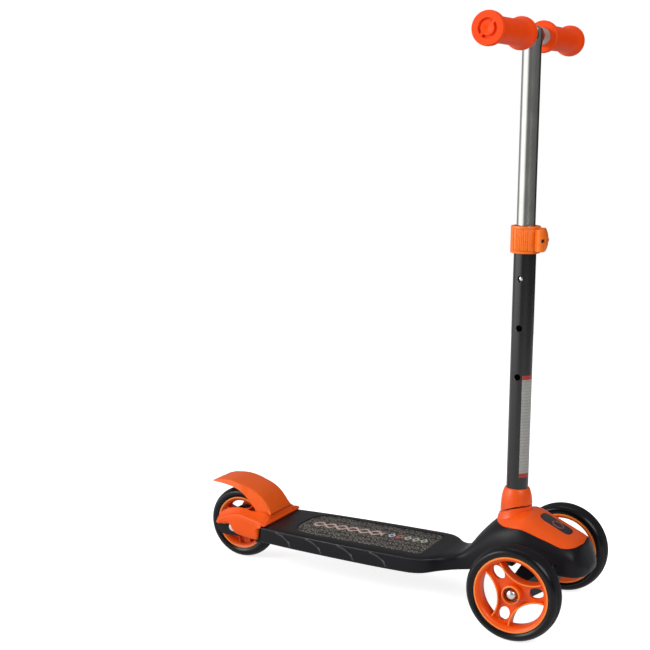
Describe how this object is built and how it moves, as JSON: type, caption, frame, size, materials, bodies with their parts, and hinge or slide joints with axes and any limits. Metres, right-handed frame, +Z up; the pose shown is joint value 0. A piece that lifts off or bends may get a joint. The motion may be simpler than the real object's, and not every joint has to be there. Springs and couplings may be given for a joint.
{
  "type": "kick scooter",
  "caption": "Child's lean-to-steer kick scooter: two wheels in front, one behind, low waisted deck, telescopic handlebar column, quick clamp and fender brake",
  "frame": {"origin": "on the ground, under the middle of the bounding box", "axes": "+X forward along the deck, +Y to the rider's left along the handlebar, +Z up along the column"},
  "size_m": [0.569, 0.3, 0.753],
  "materials": {
    "orange_plastic": "satin injection moulded, orange",
    "orange_grip": "soft moulded grip, orange",
    "black_plastic": "fine textured moulding, black",
    "pad_surface": "grip sheet, dark grey",
    "inset_plastic": "smooth dark plate",
    "tyre_polyurethane": "smooth cast polyurethane, black",
    "black_tube": "satin black powder coat on steel tube",
    "silver_tube": "drawn and lightly polished",
    "bush_rubber": "plain black rubber",
    "zinc_steel": "bright zinc plate"
  },
  "bodies": {
    "frame": {"deck_body": "black_plastic", "deck_pad": "pad_surface", "front_cover": "orange_plastic", "cover_inset": "inset_plastic", "neck_cone": "orange_plastic", "lower_tube": "black_tube", "column_plug": "black_plastic", "column_screw": "zinc_steel", "guide_bush": "black_plastic", "clamp_collar": "orange_plastic", "clamp_bolt": "zinc_steel", "clamp_nut": "zinc_steel", "lever_pin": "zinc_steel", "rear_cover": "orange_plastic", "rear_cover_screw_left": "zinc_steel", "rear_cover_screw_right": "zinc_steel", "fender_pin": "zinc_steel", "fender_spring": "zinc_steel", "rear_axle": "zinc_steel", "rear_axle_nut_left": "zinc_steel", "rear_axle_nut_right": "zinc_steel", "rear_spacer_left": "zinc_steel", "rear_spacer_right": "zinc_steel", "kingpin": "zinc_steel", "kingpin_nut": "zinc_steel", "kingpin_washer": "zinc_steel", "upper_rubber": "bush_rubber", "lower_rubber": "bush_rubber"},
    "steering_truck": {"axle_beam": "black_plastic", "front_axle": "zinc_steel", "front_spacer_left": "zinc_steel", "front_spacer_right": "zinc_steel", "front_axle_nut_left": "zinc_steel", "front_axle_nut_right": "zinc_steel"},
    "front_left_wheel": {"front_wheel_left_tyre": "tyre_polyurethane", "front_wheel_left_rim": "orange_plastic", "front_wheel_left_bearing_left": "zinc_steel", "front_wheel_left_bearing_right": "zinc_steel"},
    "front_right_wheel": {"front_wheel_right_tyre": "tyre_polyurethane", "front_wheel_right_rim": "orange_plastic", "front_wheel_right_bearing_left": "zinc_steel", "front_wheel_right_bearing_right": "zinc_steel"},
    "rear_road_wheel": {"rear_wheel_tyre": "tyre_polyurethane", "rear_wheel_rim": "orange_plastic", "rear_wheel_bearing_left": "zinc_steel", "rear_wheel_bearing_right": "zinc_steel"},
    "brake": {"brake_fender": "orange_plastic"},
    "lever": {"clamp_lever": "orange_plastic"},
    "t_bar": {"handlebar": "silver_tube", "grip_left": "orange_grip", "grip_right": "orange_grip", "button_spring": "zinc_steel"},
    "button": {"snap_button": "zinc_steel"}
  },
  "joints": [
    {"name": "lean_steer", "type": "hinge", "parent": "frame", "child": "steering_truck", "pos_m": [0.2285, 0, 0.062], "axis": [0.4226, 0, 0.9063], "range_deg": [-12, 12], "stiffness_Nm_per_rad": 25},
    {"name": "front_left_roll", "type": "hinge", "parent": "steering_truck", "child": "front_left_wheel", "pos_m": [0.2145, 0.098, 0.06], "axis": [0, 1, 0], "continuous": true},
    {"name": "front_right_roll", "type": "hinge", "parent": "steering_truck", "child": "front_right_wheel", "pos_m": [0.2145, -0.098, 0.06], "axis": [0, 1, 0], "continuous": true},
    {"name": "rear_roll", "type": "hinge", "parent": "frame", "child": "rear_road_wheel", "pos_m": [-0.2335, 0, 0.051], "axis": [0, 1, 0], "continuous": true},
    {"name": "brake_press", "type": "hinge", "parent": "frame", "child": "brake", "pos_m": [-0.18352, 0, 0.07497], "axis": [0, -1, 0], "range_deg": [0, 9], "stiffness_Nm_per_rad": 4},
    {"name": "clamp_open", "type": "hinge", "parent": "frame", "child": "lever", "pos_m": [0.2035, -0.0118, 0.484], "axis": [0, 0, 1], "range_deg": [0, 120]},
    {"name": "height_adjust", "type": "slide", "parent": "frame", "child": "t_bar", "axis": [0, 0, 1], "range_m": [-0.125, 0]},
    {"name": "button_out", "type": "slide", "parent": "t_bar", "child": "button", "axis": [0, -1, 0], "range_m": [0, 0.0035]}
  ]
}
